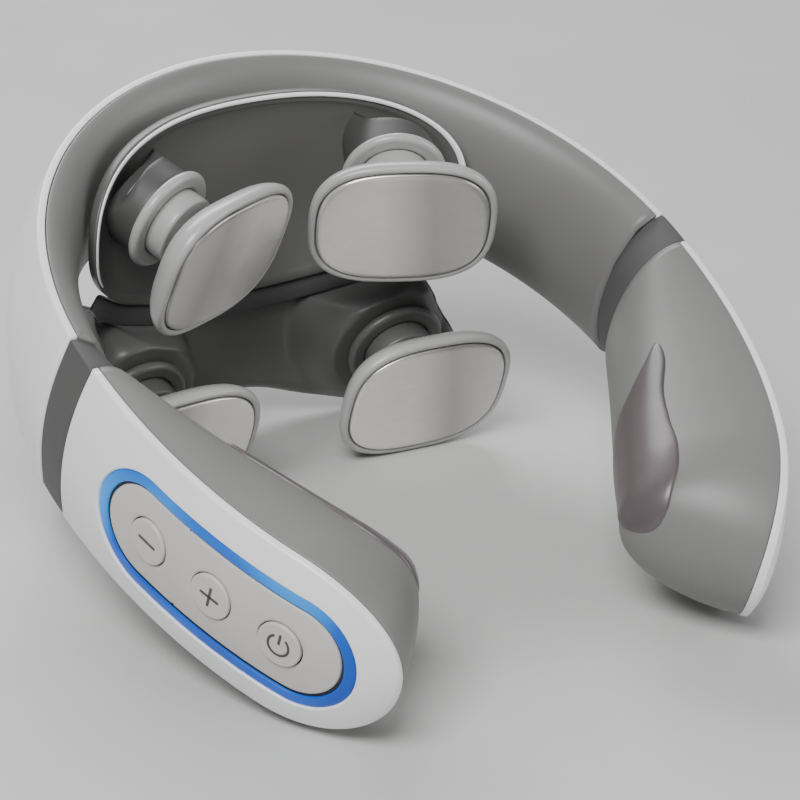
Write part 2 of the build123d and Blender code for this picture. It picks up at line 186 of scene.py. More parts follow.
def fillet_path(points, radii, steps=5):
    """Closed 2-D path with its corners rounded."""
    out = []
    count = len(points)
    for i, (p, r) in enumerate(zip(points, radii)):
        p = np.array(p, float)
        if r <= 0:
            out.append(p)
            continue
        a = np.array(points[i - 1], float) - p
        b = np.array(points[(i + 1) % count], float) - p
        la, lb = np.linalg.norm(a), np.linalg.norm(b)
        a, b = a / la, b / lb
        half = np.arccos(np.clip(a @ b, -1, 1)) / 2
        run = min(r / np.tan(half), 0.48 * la, 0.9 * lb, 0.9 * la)
        p0, p1 = p + a * run, p + b * run
        for t in np.linspace(0, 1, steps):
            out.append((1 - t) ** 2 * p0 + 2 * t * (1 - t) * p + t * t * p1)
    return np.array(out)


# ==== band
def band(points):
    """From the band's own level frame to the part's frame."""
    p = np.asarray(points, float)
    y = p[..., 1] * cos(TILT) - p[..., 2] * sin(TILT) + BAND_AT[1]
    z = p[..., 1] * sin(TILT) + p[..., 2] * cos(TILT) + BAND_AT[2]
    return np.stack([p[..., 0], y, z], -1)


def rim(angle, reach):
    """Point on the rim and the outward direction there; reach is negative towards the back."""
    t, run, sign = radians(angle), abs(reach), (-1 if reach > 0 else 1)
    point = np.array([RIM_HALF_WIDTH * cos(t), sign * run * sin(t), 0.0])
    out = np.array([run * cos(t), sign * RIM_HALF_WIDTH * sin(t), 0.0])
    return point, out / np.linalg.norm(out)


def placed(section, angle, reach):
    """A 2-D section (outward, up) set on the rim."""
    point, out = rim(angle, reach)
    s = np.asarray(section, float)
    flat = point + s[:, :1] * out
    flat[:, 2] += s[:, 1]
    return flat


def rounded(run, length):
    """Share of full size, on a quarter ellipse of that length that starts at the tip."""
    return sqrt(max(0.0, 1 - (1 - run / length) ** 2)) if run < length else 1.0


def arm_run(angle):
    """Length left from an angle on the rim to the arm's tip."""
    return radians(NOSE_ANGLE - angle) * ARM_TURN


def arm_half(run):
    return HALF * rounded(run, HEIGHT_ROUNDING)


def arm_depth(run):
    grown = min(1.0, (arm_run(SLEEVE_FRONT) - run) / BULB_RUN)
    swell = max(0.0, sin(pi / 2 * grown)) ** 0.8
    return (ARM_ROOT_DEPTH + (ARM_DEPTH - ARM_ROOT_DEPTH) * swell) * rounded(run, DEPTH_ROUNDING)


def strip_template():
    """White strip at full height: crowned outside, flat behind, with a bevelled rim."""
    ys = HALF * np.cos(np.linspace(0, pi, 31))[1:-1]
    ys = np.clip(ys, -HALF + 1.3, HALF - 1.3)
    crown = [(BULGE * (1 - (y / HALF) ** 2), y) for y in ys]
    points = [(-LIP, HALF), (0, HALF)] + crown + [(0, -HALF), (-LIP, -HALF)]
    radii = [0.3, 0.75] + [0] * len(crown) + [0.75, 0.3]
    return fillet_path(points, radii)


STRIP = strip_template()


def shell_section(half):
    """The strip shrunk to the height that is left near the arm's tip."""
    share = half / HALF
    x, y = STRIP[:, 0], STRIP[:, 1]
    return np.stack([np.where(x > 0, x * share, x * min(1.0, half / 0.6)), y * share], -1)


def cover_section(depth, half):
    """Grey cover: half ellipse with a wall, open towards the shell."""
    small = min(1.0, half / 0.6)
    seam = (LIP + SEAM) * small
    depth = max(depth, seam + 0.15)
    wall = min(WALL, 0.3 * half, 0.3 * max(depth - seam, 0.2))
    turn = np.linspace(pi / 2, -pi / 2, 41)
    outer = [(-seam - (depth - seam) * cos(a), half * sin(a)) for a in turn]
    hollow = min(1.0, max(0.02, (half - 3) / 5))
    inner = [(-seam - (depth - seam - wall) * hollow * cos(a), (half - wall) * hollow * sin(a))
             for a in turn[::-1]]
    points = outer + inner
    radii = [0.35 * small] + [0] * 39 + [0.35 * small] + [0] * 41
    return fillet_path(points, radii)


def tip_angles(start, count=64):
    """Stations along the arm, closer together towards the tip."""
    runs = arm_run(start) * (1 - np.linspace(0, 1, count))
    near = HEIGHT_ROUNDING * (1 - np.cos(np.linspace(pi / 2, 0.035, 40)))
    runs = np.concatenate([runs[runs > HEIGHT_ROUNDING + 1], near])
    return [NOSE_ANGLE - degrees(r / ARM_TURN) for r in runs]


def arm_skin(section):
    """Skin along the right arm; section gives the 2-D outline at a length from the tip."""
    angles = tip_angles(SLEEVE_FRONT + SEAM_ANGLE)
    return grid(band([placed(section(arm_run(t)), t, RIM_FRONT) for t in angles]))


def rear_skin(section):
    """Skin of one section round the back, from sleeve to sleeve."""
    rows = [placed(section, a, -RIM_BACK) for a in np.linspace(SLEEVE_BACK + SEAM_ANGLE, 90, 70)]
    rest = [r * [-1, 1, 1] for r in rows[-2::-1]]
    return grid(band(rows + rest))


# ==== materials
def tree(name):
    """A new material with its nodes, links, shader and coordinates."""
    mat = bpy.data.materials.new(name)
    mat.use_nodes = True
    nodes, links = mat.node_tree.nodes, mat.node_tree.links
    bsdf = nodes["Principled BSDF"]
    coords = nodes.new("ShaderNodeTexCoord")
    return mat, nodes, links, bsdf, coords


def noise(nodes, links, coords, scale, detail=3.0, rough=0.5, stretch=None):
    tex = nodes.new("ShaderNodeTexNoise")
    tex.inputs["Scale"].default_value = scale
    tex.inputs["Detail"].default_value = detail
    tex.inputs["Roughness"].default_value = rough
    if stretch:
        mapping = nodes.new("ShaderNodeMapping")
        mapping.inputs["Scale"].default_value = stretch
        links.new(coords.outputs["Object"], mapping.inputs["Vector"])
        links.new(mapping.outputs["Vector"], tex.inputs["Vector"])
    else:
        links.new(coords.outputs["Object"], tex.inputs["Vector"])
    return tex


def ramp(nodes, links, source, stops):
    node = nodes.new("ShaderNodeValToRGB")
    marks = node.color_ramp.elements
    while len(marks) > 1:
        marks.remove(marks[-1])
    marks[0].position = stops[0][0]
    marks[0].color = (*stops[0][1], 1)
    for at, colour in stops[1:]:
        marks.new(at).color = (*colour, 1)
    links.new(source, node.inputs["Fac"])
    return node


def bump(nodes, links, source, bsdf, strength, distance):
    node = nodes.new("ShaderNodeBump")
    node.inputs["Strength"].default_value = strength
    node.inputs["Distance"].default_value = distance
    links.new(source, node.inputs["Height"])
    links.new(node.outputs["Normal"], bsdf.inputs["Normal"])


def roughness(nodes, links, source, bsdf, low, high):
    node = nodes.new("ShaderNodeMapRange")
    node.inputs["To Min"].default_value = low
    node.inputs["To Max"].default_value = high
    links.new(source, node.inputs["Value"])
    links.new(node.outputs["Result"], bsdf.inputs["Roughness"])


def plastic(name, dark, light, rough, grain=900.0, grain_depth=0.00002, coat=0.0):
    """Moulded plastic: broad tone drift, fine moulded grain."""
    mat, nodes, links, bsdf, coords = tree(name)
    broad = noise(nodes, links, coords, 22.0, 2.0)
    colour = ramp(nodes, links, broad.outputs["Fac"], [(0.3, dark), (0.7, light)])
    links.new(colour.outputs["Color"], bsdf.inputs["Base Color"])
    fine = noise(nodes, links, coords, grain, 3.0, 0.6)
    roughness(nodes, links, fine.outputs["Fac"], bsdf, rough - 0.05, rough + 0.05)
    bump(nodes, links, fine.outputs["Fac"], bsdf, 0.25, grain_depth)
    bsdf.inputs["Coat Weight"].default_value = coat
    bsdf.inputs["Coat Roughness"].default_value = 0.18
    return mat


def metal(name, dark, light, rough, stretch, aniso=0.0):
    """Metal with a fine brushed or drawn grain."""
    mat, nodes, links, bsdf, coords = tree(name)
    lines = noise(nodes, links, coords, 260.0, 4.0, 0.65, stretch)
    colour = ramp(nodes, links, lines.outputs["Fac"], [(0.3, dark), (0.7, light)])
    links.new(colour.outputs["Color"], bsdf.inputs["Base Color"])
    bsdf.inputs["Metallic"].default_value = 1.0
    bsdf.inputs["Anisotropic"].default_value = aniso
    roughness(nodes, links, lines.outputs["Fac"], bsdf, rough - 0.04, rough + 0.05)
    bump(nodes, links, lines.outputs["Fac"], bsdf, 0.12, 0.00001)
    return mat


def light_guide(name):
    """Lit blue diffuser: brighter patches drift along it."""
    mat, nodes, links, bsdf, coords = tree(name)
    broad = noise(nodes, links, coords, 30.0, 1.0, 0.4)
    glow = [(0.36, (0.001, 0.035, 0.32)), (0.5, (0.002, 0.09, 0.58)), (0.64, (0.03, 0.42, 1.0))]
    colour = ramp(nodes, links, broad.outputs["Fac"], glow)
    links.new(colour.outputs["Color"], bsdf.inputs["Emission Color"])
    unlit = [(0.3, (0.003, 0.03, 0.16)), (0.7, (0.01, 0.08, 0.3))]
    deep = ramp(nodes, links, broad.outputs["Fac"], unlit)
    links.new(deep.outputs["Color"], bsdf.inputs["Base Color"])
    bsdf.inputs["Emission Strength"].default_value = 0.75
    bsdf.inputs["Specular IOR Level"].default_value = 0.25
    bsdf.inputs["Roughness"].default_value = 0.35
    return mat


def paint_sheen_to_the_sides(mat):
    """Paints a sheen on the plates, a painted reflection: light in the middle of the part and darker to
    its sides, a little more higher up.
    """
    nodes, links = mat.node_tree.nodes, mat.node_tree.links
    bsdf = nodes["Principled BSDF"]
    bsdf.inputs["Metallic"].default_value = 0.75
    spread = nodes.new("ShaderNodeSeparateXYZ")
    links.new(nodes["Texture Coordinate"].outputs["Object"], spread.inputs["Vector"])
    outward = nodes.new("ShaderNodeMath")
    outward.operation = "ABSOLUTE"
    links.new(spread.outputs["X"], outward.inputs[0])
    level = nodes.new("ShaderNodeMath")
    level.operation = "MULTIPLY_ADD"
    level.inputs[1].default_value = 0.2295
    links.new(spread.outputs["Z"], level.inputs[0])
    links.new(outward.outputs[0], level.inputs[2])
    share = nodes.new("ShaderNodeMapRange")
    share.inputs["From Min"].default_value = 0.0150
    share.inputs["From Max"].default_value = 0.0555
    links.new(level.outputs[0], share.inputs["Value"])
    # Painted sheen: light stops near the middle of the part, dark stops towards its sides.
    painted_sheen_tones = [(0.05, (0.96, 0.95, 0.93)), (0.40, (0.88, 0.87, 0.85)),
             (0.64, (0.50, 0.49, 0.48)), (0.98, (0.62, 0.61, 0.60))]
    painted_sheen = ramp(nodes, links, share.outputs["Result"], painted_sheen_tones)
    mix = nodes.new("ShaderNodeMix")
    mix.data_type, mix.blend_type = "RGBA", "MULTIPLY"
    mix.inputs["Factor"].default_value = 1.0
    colour_a, colour_b, colour_out = mix.inputs[6], mix.inputs[7], mix.outputs[2]
    grain = bsdf.inputs["Base Color"].links[0].from_socket
    links.new(grain, colour_a)
    links.new(painted_sheen.outputs["Color"], colour_b)
    links.new(colour_out, bsdf.inputs["Base Color"])


WHITE = plastic("white_satin", (0.76, 0.765, 0.77), (0.82, 0.825, 0.83), 0.34, coat=0.25)
GREY = plastic("grey_soft_touch", (0.155, 0.154, 0.151), (0.178, 0.177, 0.174), 0.44)
RUBBER = plastic("joint_rubber", (0.062, 0.062, 0.062), (0.075, 0.075, 0.074), 0.6, 1400.0, 0.00003)
CRADLE = plastic("cradle_grey", (0.085, 0.084, 0.082), (0.102, 0.101, 0.099), 0.40)
FLEX = plastic("cradle_rubber", (0.05, 0.05, 0.049), (0.062, 0.062, 0.061), 0.5, 1400.0, 0.00003)
BEZEL = plastic("bezel_grey", (0.35, 0.35, 0.345), (0.40, 0.40, 0.395), 0.33, coat=0.2)
PAD = plastic("pad_silicone", (0.075, 0.062, 0.066), (0.10, 0.085, 0.089), 0.38, coat=0.2)
PANEL = plastic("champagne_panel", (0.47, 0.455, 0.43), (0.53, 0.515, 0.49), 0.33, 700.0, coat=0.1)
ICON = plastic("icon_grey", (0.045, 0.045, 0.047), (0.06, 0.06, 0.062), 0.45)
# Near-black painted shadow: this ring round the panel stands in for the shade in the panel's recess.
PANEL_SHADOW_RING = plastic("panel_painted_shadow_ring", (0.010, 0.010, 0.011), (0.016, 0.016, 0.017), 0.6)
BOARD = plastic("solder_mask", (0.02, 0.10, 0.045), (0.03, 0.14, 0.06), 0.35)
# Near-white glossy plastic for the metal trim: the white is a painted highlight that stands in for the
# metal's reflection.
TRIM_PAINTED_WHITE = plastic("trim_painted_highlight", (0.90, 0.90, 0.90), (0.95, 0.95, 0.95), 0.16, coat=1.0)
PLATE = metal("satin_plate", (0.88, 0.87, 0.85), (0.94, 0.93, 0.91), 0.30, (1, 1, 3), 0.3)
# Painted reflection: the plates' colour is lighter in the middle and darker at the sides.
paint_sheen_to_the_sides(PLATE)
STEEL = metal("spring_steel", (0.42, 0.42, 0.42), (0.58, 0.58, 0.58), 0.28, (3, 3, 3))
FOIL = metal("cell_foil", (0.60, 0.61, 0.62), (0.74, 0.75, 0.76), 0.4, (1, 1, 6))
GUIDE = light_guide("blue_light_guide")

# ==== the band at the back
REAR = "rear_band"
piece("rear_outer_shell_fine", *rear_skin(shell_section(HALF)), WHITE, REAR,
      ["rear_outer_shell"], "white_shell")
piece("rear_inner_cover_fine", *rear_skin(cover_section(REAR_DEPTH, HALF)), GREY, REAR,
      ["rear_inner_cover"], "grey_cover")


# ==== arms
def arm_cover_section(run):
    return cover_section(arm_depth(run), arm_half(run))


def cut_inlet(cover, angle=10, inset=8.0, half_width=1.85, half_length=4.8):
    """Cuts the charging slot into the underside of the cover."""
    point, out = rim(angle, RIM_FRONT)
    along = np.array([-out[1], out[0], 0.0])
    rows = []
    for z in (-24.0, -14.0):
        rows.append([point + out * (half_width * cos(t) - inset) + along * half_length * sin(t)
                     + [0, 0, z] for t in np.linspace(0, 2 * pi, 48, endpoint=False)])
    cutter = piece("inlet_cutter", *grid(band(rows)), GREY)
    cut = cover.modifiers.new("inlet", "BOOLEAN")
    cut.object, cut.operation, cut.solver = cutter, "DIFFERENCE", "EXACT"
    evaluated = cover.evaluated_get(bpy.context.evaluated_depsgraph_get())
    carved = bpy.data.meshes.new_from_object(evaluated)
    cover.modifiers.clear()
    cover.data = carved
    bpy.data.objects.remove(cutter)


cover_verts, cover_faces = arm_skin(arm_cover_section)
shell_verts, shell_faces = arm_skin(lambda run: shell_section(arm_half(run)))
piece("right_arm_shell_fine", shell_verts, shell_faces, WHITE, "right_arm",
      ["right_arm_shell"], "white_shell")
right_cover = piece("right_arm_cover_fine", cover_verts, cover_faces, GREY, "right_arm",
                    ["right_arm_cover"], "grey_cover")
cut_inlet(right_cover)
piece("left_arm_cover_fine", mirrored(cover_verts), cover_faces, GREY, "left_arm",
      ["left_arm_cover"], "grey_cover")

# ---- the left arm's white shell, with the opening for the light ring and the panel ----
centre_point, centre_out = rim(PANEL_ANGLE, RIM_FRONT)
centre_along = np.array([-centre_out[1], centre_out[0], 0.0])
if centre_along[1] > 0:
    centre_along = -centre_along
TABLE_T = np.linspace(0.0, NOSE_ANGLE, 600)
TABLE_A = np.array([(rim(t, RIM_FRONT)[0] + FACE_RISE * rim(t, RIM_FRONT)[1] - centre_point)
                    @ centre_along for t in TABLE_T])
A_ROOT = float(np.interp(SLEEVE_FRONT + SEAM_ANGLE, TABLE_T, TABLE_A))
SPINE = (PANEL_LENGTH - PANEL_HEIGHT) / 2
RADIUS = PANEL_HEIGHT / 2


def half_at(a):
    """Half of the face's height at a length along it from the panel's middle."""
    return arm_half(arm_run(float(np.interp(a, TABLE_A, TABLE_T))))


def inside(a, b):
    """Whether a point is on the arm's outer face."""
    return A_ROOT < a < TABLE_A[-1] and abs(b) < half_at(a)


def face_point(a, b, depth, absolute=False):
    """Point of the outer face above (a, b) on the panel's plane; depth is below the crown."""
    t = float(np.interp(a, TABLE_A, TABLE_T))
    half = max(half_at(a), 0.05)
    crown = BULGE * half / HALF * (1 - min(1.0, (b / half) ** 2))
    x = -depth if absolute else crown - depth
    point, out = rim(t, RIM_FRONT)
    flat = point + x * out
    return [flat[0], flat[1], b]


def stadium_rays(count=44):
    """Start points on the stadium's spine and directions all round it, matched to the corners."""
    rays = []
    for s in np.linspace(-SPINE, SPINE, count)[1:-1]:
        rays.append((s, 0.0, 0.0, 1.0))
    end = np.linspace(pi / 2, -pi / 2, 61)
    rays += [(SPINE, 0.0, cos(a), sin(a)) for a in end]
    for s in np.linspace(SPINE, -SPINE, count)[1:-1]:
        rays.append((s, 0.0, 0.0, -1.0))
    corner = atan2(HALF, A_ROOT + SPINE)
    angles = sorted(list(np.linspace(-pi / 2, -3 * pi / 2, 61)) + [-corner, corner - 2 * pi],
                    reverse=True)
    rays += [(-SPINE, 0.0, cos(a), sin(a)) for a in angles]
    return rays


RAYS = stadium_rays()


REACH = [farthest(0.0, 90.0, 40, lambda d: inside(a0 + da * d, b0 + db * d))
         for a0, b0, da, db in RAYS]


def ray_loop(distance, depth, absolute=False):
    """One loop round the stadium; distance is a number or a function of the ray's index."""
    row = []
    for n, (a0, b0, da, db) in enumerate(RAYS):
        d = distance(n) if callable(distance) else distance
        row.append(face_point(a0 + da * d, b0 + db * d, depth, absolute))
    return row


def left_ring(rows):
    """Verts and faces of a closed ring over loops round the stadium, on the left arm."""
    rows = np.array(rows)
    return grid(mirrored(band(rows.reshape(-1, 3))).reshape(rows.shape), wrap_rows=True)


def round_off(radius, steps=6):
    """(distance back from the edge, drop) along a quarter circle, from the flat to the edge."""
    return [(radius * (1 - sin(t)), radius * (1 - cos(t))) for t in np.linspace(0, pi / 2, steps)]


hole, near_hole, edge = RADIUS + LED_WIDTH + FIT, 0.5, 0.6
rows = [ray_loop(hole, LIP, True), ray_loop(hole, 1.6), ray_loop(hole, 0.9)]
rows += [ray_loop(hole + back, drop) for back, drop in reversed(round_off(0.45))]
for share in np.linspace(0, 1, 18)[1:-1]:
    rows.append(ray_loop(lambda n, s=share: hole + near_hole
                         + (REACH[n] - edge - hole - near_hole) * s, 0.0))
for back, drop in round_off(edge, 7):
    rows.append(ray_loop(lambda n, b=back: REACH[n] - b, drop))
for back, depth in ((0.0, 1.0), (0.0, LIP - 0.3), (0.1, LIP - 0.08), (0.3, LIP)):
    rows.append(ray_loop(lambda n, b=back: REACH[n] - b, depth, True))
rows.append(ray_loop(lambda n: (hole + REACH[n]) / 2, LIP, True))
verts, faces = left_ring(rows)
piece("left_arm_shell_fine", verts, faces, WHITE, "left_arm", ["left_arm_shell"], "white_shell")

inner, outer = RADIUS + 0.6, RADIUS + LED_WIDTH
rows = [ray_loop(inner, 2.6), ray_loop(inner, 0.9)]
rows += [ray_loop(inner + back, 0.4 + drop) for back, drop in reversed(round_off(0.35))]
rows += [ray_loop(inner + s * (outer - inner), 0.4) for s in (0.3, 0.5, 0.7)]
rows += [ray_loop(outer - back, 0.4 + drop) for back, drop in round_off(0.35)]
rows += [ray_loop(outer, 0.9), ray_loop(outer, 2.6)]
verts, faces = left_ring(rows)
piece("led_light_guide_fine", verts, faces, GUIDE, "left_arm", ["led_light_guide"], "light_blue")

# Near-black ring between the light ring and the panel: painted shadow of the recess.
rows = [ray_loop(RADIUS + 0.03, 2.2), ray_loop(RADIUS + 0.03, 1.15), ray_loop(RADIUS + 0.3, 1.05),
        ray_loop(RADIUS + 0.57, 1.0), ray_loop(RADIUS + 0.57, 2.2)]
verts, faces = left_ring(rows)
piece("panel_painted_shadow_ring", verts, faces, PANEL_SHADOW_RING, "left_arm")

# ---- the panel: three cells, one round each button's opening ----
STEP = degrees(PITCH / PANEL_TURN)
BUTTON_A = [float(np.interp(PANEL_ANGLE + k * STEP, TABLE_T, TABLE_A)) for k in (-1, 0, 1)]
SPLIT = [(BUTTON_A[0] + BUTTON_A[1]) / 2, (BUTTON_A[1] + BUTTON_A[2]) / 2]


def panel_drop(a, b):
    """The panel's edge rounds off over its last half millimetre."""
    near = RADIUS - sqrt((a - max(-SPINE, min(SPINE, a))) ** 2 + b * b)
    r = 0.45
    return r - sqrt(max(0.0, r * r - (r - max(near, 0.0)) ** 2)) if near < r else 0.0


def in_panel(a, b):
    """Whether a point is within the panel's outline."""
    return (a - max(-SPINE, min(SPINE, a))) ** 2 + b * b < RADIUS ** 2


def cell_loops(a0, low, high, angles):
    """Loops of (a, b, drop) from a button's opening out to the edge of its cell."""
    lip = BUTTON_HOLE + 0.22
    loops = []
    for r, drop in ((BUTTON_HOLE, 0.25), (BUTTON_HOLE + 0.07, 0.09), (lip, 0.0)):
        loops.append([(a0 + cos(t) * r, sin(t) * r, drop) for t in angles])
    ends = []
    for t in angles:
        ends.append(farthest(0.0, 60.0, 36, lambda d: low < a0 + cos(t) * d < high
                             and in_panel(a0 + cos(t) * d, sin(t) * d)))
    for share in (0.12, 0.3, 0.5, 0.68, 0.82, 0.9, 0.94, 0.965, 0.985, 1.0):
        row = []
        for t, end in zip(angles, ends):
            d = lip + (end - lip) * share
            a, b = a0 + cos(t) * d, sin(t) * d
            row.append((a, b, panel_drop(a, b)))
        loops.append(row)
    return loops


panel_verts, panel_faces = [], []
CELL_POINTS, FAR = 144, 99.0
for k, a0 in enumerate(BUTTON_A):
    low = SPLIT[k - 1] if k else -FAR
    high = SPLIT[k] if k < 2 else FAR
    loops = cell_loops(a0, low, high, np.linspace(0, 2 * pi, CELL_POINTS, endpoint=False))
    base = len(panel_verts)
    for row in loops:
        panel_verts += [face_point(a, b, PANEL_DROP + drop) for a, b, drop in row]
    for i in range(len(loops) - 1):
        near, far = base + i * CELL_POINTS, base + (i + 1) * CELL_POINTS
        for j in range(CELL_POINTS):
            q = (j + 1) % CELL_POINTS
            panel_faces.append((near + j, near + q, far + q, far + j))
panel_sheet = mirrored(band(np.array(panel_verts)))
mesh = bpy.data.meshes.new("control_panel_fine")
bm = bmesh.new()
made = [bm.verts.new(Vector(v) * 0.001) for v in panel_sheet]
for f in panel_faces:
    bm.faces.new([made[i] for i in f])
bmesh.ops.remove_doubles(bm, verts=bm.verts, dist=2e-5)
bmesh.ops.recalc_face_normals(bm, faces=bm.faces)
top_faces = list(bm.faces)
out_dir = Vector(band(np.array([centre_out * [-1, 1, 1]]))[0] - band(np.zeros((1, 3)))[0])
if sum(f.normal.dot(out_dir) for f in top_faces) < 0:
    bmesh.ops.reverse_faces(bm, faces=top_faces)
lower = bmesh.ops.extrude_face_region(bm, geom=top_faces, use_keep_orig=True)
moved = [g for g in lower["geom"] if isinstance(g, bmesh.types.BMVert)]
for v in moved:
    v.co -= out_dir.normalized() * PANEL_THICK * 0.001
bmesh.ops.recalc_face_normals(bm, faces=bm.faces)
for f in bm.faces:
    f.smooth = True
bm.to_mesh(mesh)
bm.free()
panel = bpy.data.objects.new("control_panel_fine", mesh)
bpy.context.scene.collection.objects.link(panel)
mesh.materials.append(PANEL)
mesh.set_sharp_from_angle(angle=radians(50))
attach(panel, "left_arm")
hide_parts("control_panel")


# ==== turned pieces and buttons
def square_to(axis):
    """Two directions square to an axis and to each other."""
    a = np.cross(axis, (0, 0, 1))
    a /= np.linalg.norm(a)
    return a, np.cross(axis, a)


def turned(profile, origin, axis, count=96):
    """Skin of revolution: profile holds (radius, height along the axis)."""
    axis = np.array(axis, float) / np.linalg.norm(axis)
    a, b = square_to(axis)
    turns = np.linspace(0, 2 * pi, count, endpoint=False)
    rows = [[np.array(origin) + axis * z + (a * cos(t) + b * sin(t)) * max(r, 0.02) for t in turns]
            for r, z in profile]
    return fan_grid(rows)


def arc(cx, cz, r, start, stop, steps=6):
    """Points on an arc, from one angle in degrees to another."""
    turns = np.radians(np.linspace(start, stop, steps))
    return [(cx + r * cos(t), cz + r * sin(t)) for t in turns]


def bar_outline(length, width, count=7):
    """Rounded bar, as a closed 2-D outline."""
    r, s = width / 2, (length - width) / 2
    ends = [(s + r * cos(t), r * sin(t)) for t in np.linspace(-pi / 2, pi / 2, count)]
    return ends + [(-x, -y) for x, y in ends]


def slab(outline, place, low, high):
    """Flat raised mark: outline points set by place(u, v, height)."""
    rows = []
    centre = np.mean(np.array(outline), 0)
    for share, h in ((1.0, low), (1.0, high - 0.04), (0.985, high)):
        rows.append([place(*(centre + (np.array(p) - centre) * share), h) for p in outline])
    return grid(rows)


def power_arc(place, low, high, outer=2.6, inner=2.05):
    """The power mark's open ring."""
    ring = [(cos(t), sin(t)) for t in np.linspace(radians(122), radians(418), 40)]
    outline = [(outer * x, outer * y) for x, y in ring]
    outline += [(inner * x, inner * y) for x, y in ring[::-1]]
    verts = [place(x, y, h) for h in (low, high) for x, y in outline]
    total = len(outline)
    faces = []
    for j in range(total):
        q = (j + 1) % total
        faces.append((j, q, total + q, total + j))
    for j in range(len(ring) - 1):
        for base in (0, total):
            faces.append((base + j, base + j + 1, base + total - 2 - j, base + total - 1 - j))
    return verts, faces


BUTTON_RISE, BUTTON_ROUND = 0.35, 0.35
BUTTON_TOP = BULGE - PANEL_DROP + BUTTON_RISE
SIGN_BAR, POWER_BAR, POWER_BAR_UP = (5.0, 0.66), (2.7, 0.58), 1.5
for k, name in enumerate(("minus", "plus", "power")):
    point, out = rim(PANEL_ANGLE + (k - 1) * STEP, RIM_FRONT)
    along = np.array([out[1], -out[0], 0.0])
    if along[1] > 0:
        along = -along
    up = np.array([0.0, 0.0, 1.0])
    profile = [(0.0, 0.4), (4.5, 0.4), (4.8, 0.6)]
    profile += arc(4.55, BUTTON_TOP - BUTTON_ROUND, BUTTON_ROUND, 0, 90)
    profile += [(r, BUTTON_TOP) for r in (4.3, 3.0, 1.5, 0.0)]
    verts, faces = turned(profile, point, out)
    piece(f"{name}_button_fine", mirrored(band(verts)), faces, PANEL, f"{name}_key",
          [f"{name}_button"], "panel_champagne")

    def on_button(u, v, h):
        return mirrored(band(np.array([point + along * u + up * v + out * h])))[0]

    marks = []
    low, high = BUTTON_TOP - 0.15, BUTTON_TOP + 0.05
    if name in ("minus", "plus"):
        marks.append(slab(bar_outline(*SIGN_BAR), on_button, low, high))
    if name == "plus":
        marks.append(slab([(y, x) for x, y in bar_outline(*SIGN_BAR)], on_button, low, high))
    if name == "power":
        upright = [(y, x + POWER_BAR_UP) for x, y in bar_outline(*POWER_BAR)]
        marks.append(slab(upright, on_button, low, high))
        marks.append(power_arc(on_button, low, high))
    for m, (verts, faces) in enumerate(marks):
        piece(f"{name}_mark_{m}", verts, faces, ICON, f"{name}_key")


# ==== joint sleeves
def whole_section(depth, half, bulge):
    """Outline of the whole band: crowned outside, half an ellipse inside."""
    ys = half * np.cos(np.linspace(0, pi, 25))[1:-1]
    ys = np.clip(ys, -half + 1.2, half - 1.2)
    crown = [(bulge * (1 - (y / half) ** 2), y) for y in ys]
    turn = np.linspace(-pi / 2, pi / 2, 41)[1:-1]
    ellipse = [(-depth * cos(a), half * sin(a)) for a in turn]
    points = [(0, half)] + crown + [(0, -half)] + ellipse
    radii = [0.6] + [0] * len(crown) + [0.6] + [0] * len(ellipse)
    return fillet_path(points, radii)


def sleeve_at(share, inset):
    """Loop of the sleeve; share runs 0 to 1 from the back to the arm."""
    length_back = RIM_BACK * radians(SLEEVE_BACK - SLEEVE_CLEAR)
    length_front = RIM_FRONT * radians(SLEEVE_FRONT - SLEEVE_CLEAR)
    s = share * (length_back + length_front) - length_back
    if s < 0:
        angle, reach = -degrees(s / RIM_BACK), -RIM_BACK
        depth = SLEEVE_DEPTH + (SLEEVE_DEPTH - REAR_DEPTH) * s / length_back
    else:
        angle, reach = degrees(s / RIM_FRONT), RIM_FRONT
        depth = SLEEVE_DEPTH + (ARM_ROOT_DEPTH - SLEEVE_DEPTH) * s / length_front
    return placed(whole_section(depth - inset, HALF - inset, BULGE - inset), angle, reach)


rows = []
for share, inset in ((0.0, 1.0), (0.004, 0.65), (0.02, 0.42), (0.05, 0.32), (0.12, 0.28), (0.3, 0.26),
                     (0.5, 0.25), (0.7, 0.26), (0.88, 0.28), (0.95, 0.32), (0.98, 0.42),
                     (0.996, 0.65), (1.0, 1.0), (1.0, 2.1), (0.5, 2.1), (0.0, 2.1)):
    rows.append(sleeve_at(share, inset))
sleeve_verts, sleeve_faces = grid(band(rows), wrap_rows=True)
stations = [(a, -RIM_BACK) for a in (9.5, 8, 6, 4, 2)] + [(a, RIM_FRONT) for a in (0, 2, 4, 6, 8.6)]
flat_steel = [(-4.9, 6), (-5.5, 6), (-5.5, -6), (-4.9, -6)]
strip_verts, strip_faces = grid(band([placed(flat_steel, a, reach) for a, reach in stations]))
for side, sign in (("right", 1), ("left", -1)):
    for name, node, v, f, mat, slot in (
            ("sleeve_fine", "joint_sleeve", sleeve_verts, sleeve_faces, RUBBER, "joint_rubber"),
            ("flex_strip_fine", "flex_strip", strip_verts, strip_faces, STEEL, "spring_steel")):
        obj = piece(f"{side}_{name}", v if sign > 0 else mirrored(v), f, mat,
                    nodes=[f"{side}_{node}"], slot=slot)
        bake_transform(obj)


# ==== side pads
def catmull(a, b, c, d, count):
    """Points of a Catmull-Rom curve from b up to, but not at, c."""
    return [0.5 * (2 * b + (c - a) * t + (2 * a - 5 * b + 4 * c - d) * t * t
                   + (3 * b - a - 3 * c + d) * t ** 3)
            for t in np.linspace(0, 1, count, endpoint=False)]


def smooth_loop(points, count):
    """Closed smooth curve through the points."""
    p = np.array(points, float)
    n = len(p)
    out = []
    for i in range(n):
        out += catmull(p[i - 1], p[i], p[(i + 1) % n], p[(i + 2) % n], count)
    return np.array(out)


